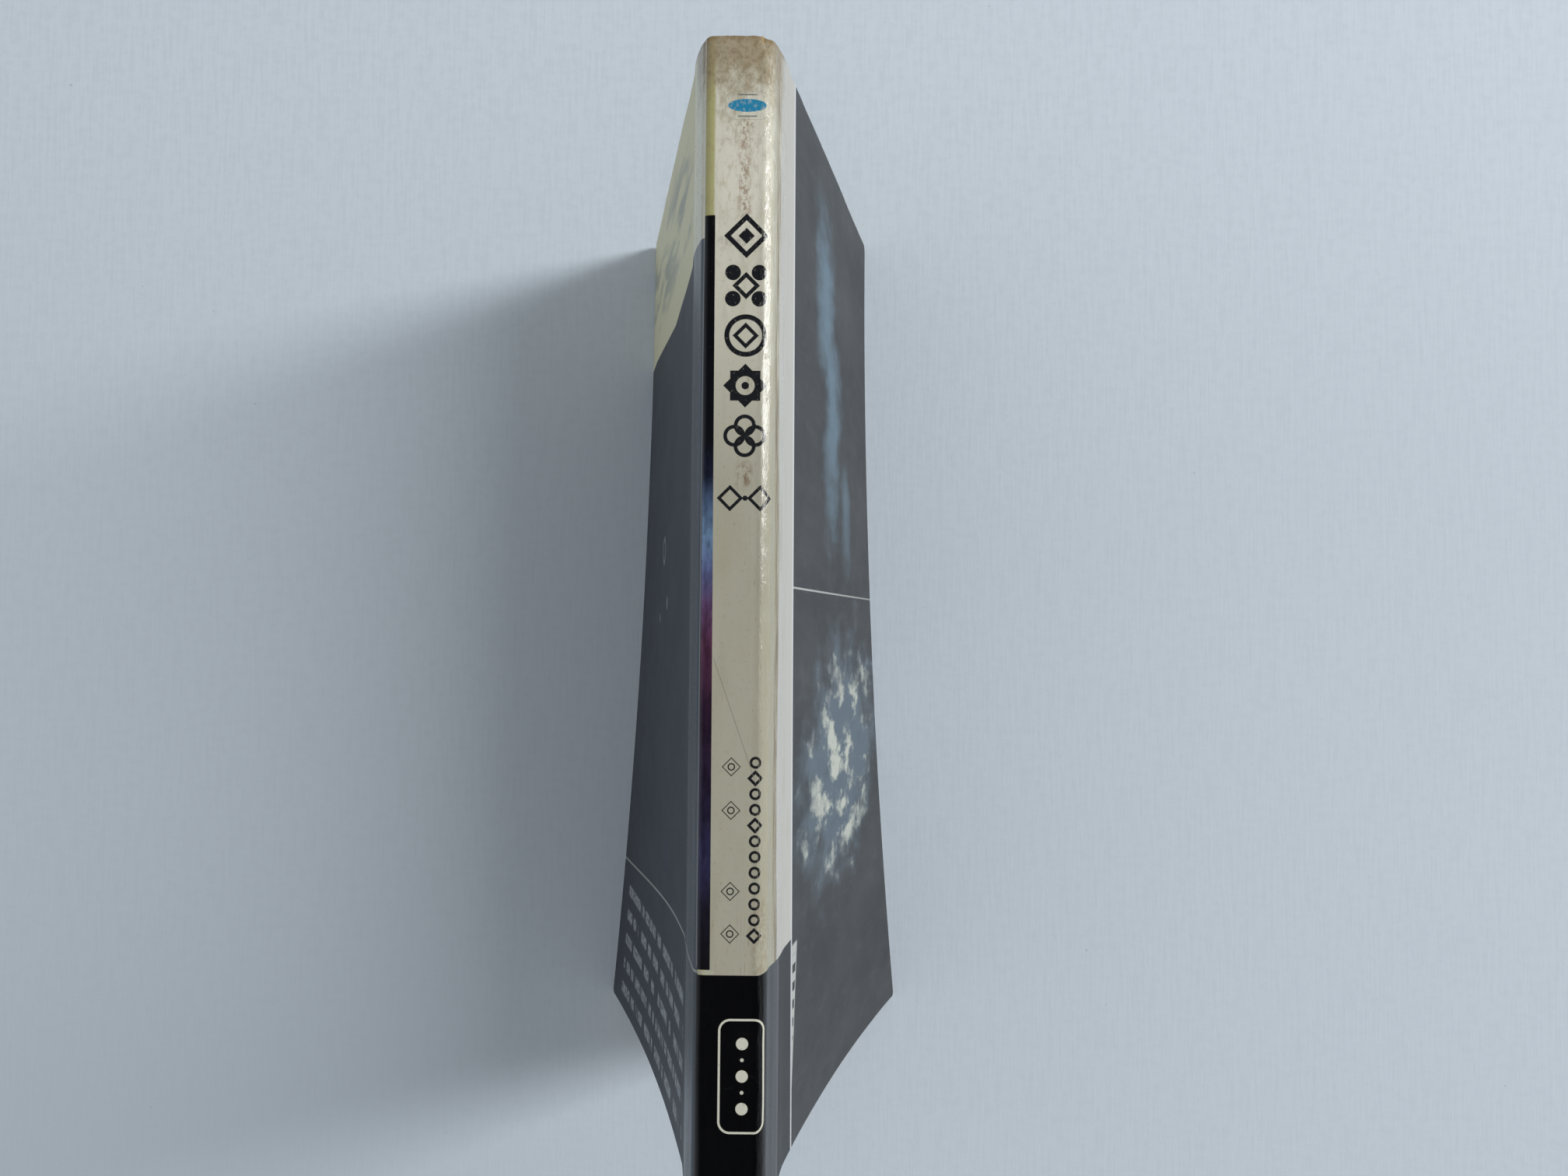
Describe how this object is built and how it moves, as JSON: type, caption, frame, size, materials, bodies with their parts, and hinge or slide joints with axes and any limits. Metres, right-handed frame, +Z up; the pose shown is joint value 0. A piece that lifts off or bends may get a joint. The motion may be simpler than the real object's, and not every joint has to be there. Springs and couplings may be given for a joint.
{
  "type": "paperback book",
  "caption": "Pocket-size paperback with a laminated card cover, standing on its fore edge with the spine up, its leaves fanned and both covers hinged along the spine.",
  "frame": {"origin": "on the floor under the middle of the book, which stands on its fore edge", "axes": "+X from the front cover to the back cover, +Y towards the head, +Z up from the fore edge to the spine"},
  "size_m": [0.0686, 0.184, 0.105],
  "materials": {
    "page_paper": "aged uncoated pulp paper",
    "binding_glue": "aged clear binding glue",
    "spine_card": "printed card under a gloss film",
    "front_card": "printed card under a gloss film",
    "back_card": "printed card under a gloss film"
  },
  "bodies": {
    "text_block": {"page_block": "page_paper", "binding_glue": "binding_glue", "cover_spine": "spine_card"},
    "front": {"front_cover": "front_card"},
    "back": {"back_cover": "back_card"}
  },
  "joints": [
    {"name": "front_opening", "type": "hinge", "parent": "text_block", "child": "front", "pos_m": [-0.00732, 0, 0.09712], "axis": [0, 1, 0], "range_deg": [0, 160]},
    {"name": "back_opening", "type": "hinge", "parent": "text_block", "child": "back", "pos_m": [0.00732, 0, 0.09712], "axis": [0, -1, 0], "range_deg": [0, 160]}
  ]
}
